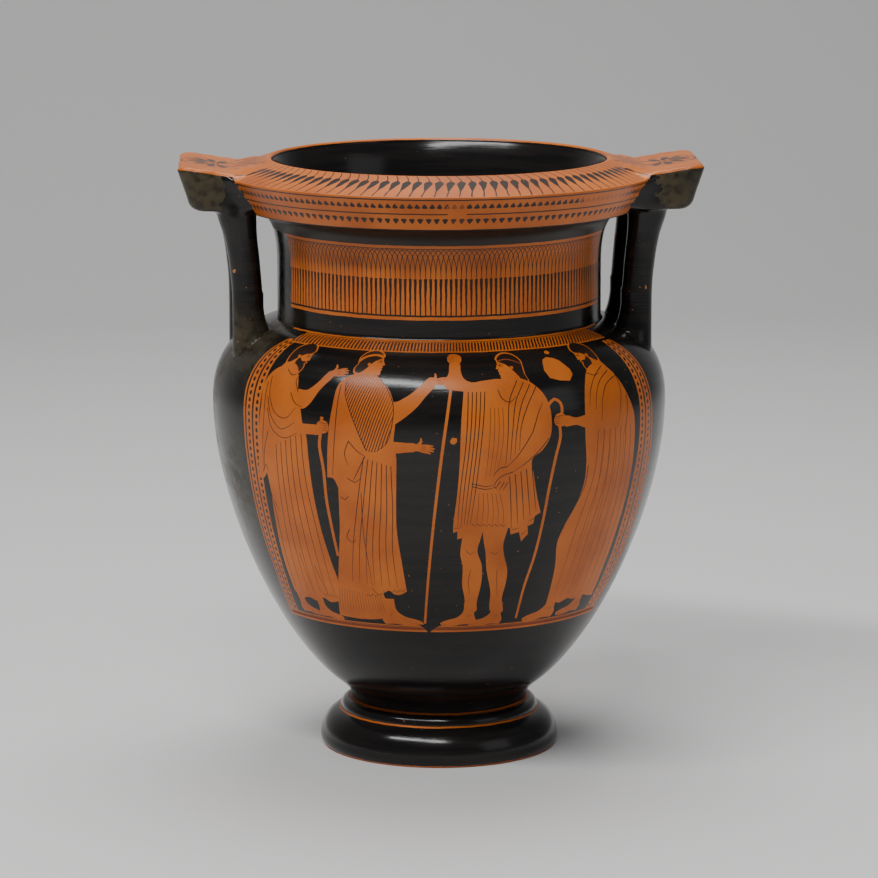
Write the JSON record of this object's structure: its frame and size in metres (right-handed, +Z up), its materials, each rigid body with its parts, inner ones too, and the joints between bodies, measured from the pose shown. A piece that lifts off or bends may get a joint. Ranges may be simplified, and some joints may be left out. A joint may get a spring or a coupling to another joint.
{
  "type": "column krater",
  "caption": "Wide-mouthed fired-clay mixing bowl with an ovoid body on a moulded ring foot, a straight neck, a flat-topped rim, and paired column handles under plates level with the rim.",
  "frame": {"origin": "on the ground under the middle of the foot, on the pot's turning axis", "axes": "+Z up along the turning axis; the front picture faces -Y; the two handles stand on +X and -X"},
  "size_m": [0.369, 0.3194, 0.42],
  "materials": {
    "fired_clay": "glossy black slip over orange-red fired clay, with reserved clay figures and ornament"
  },
  "bodies": {
    "root": {"krater": "fired_clay"}
  },
  "joints": []
}
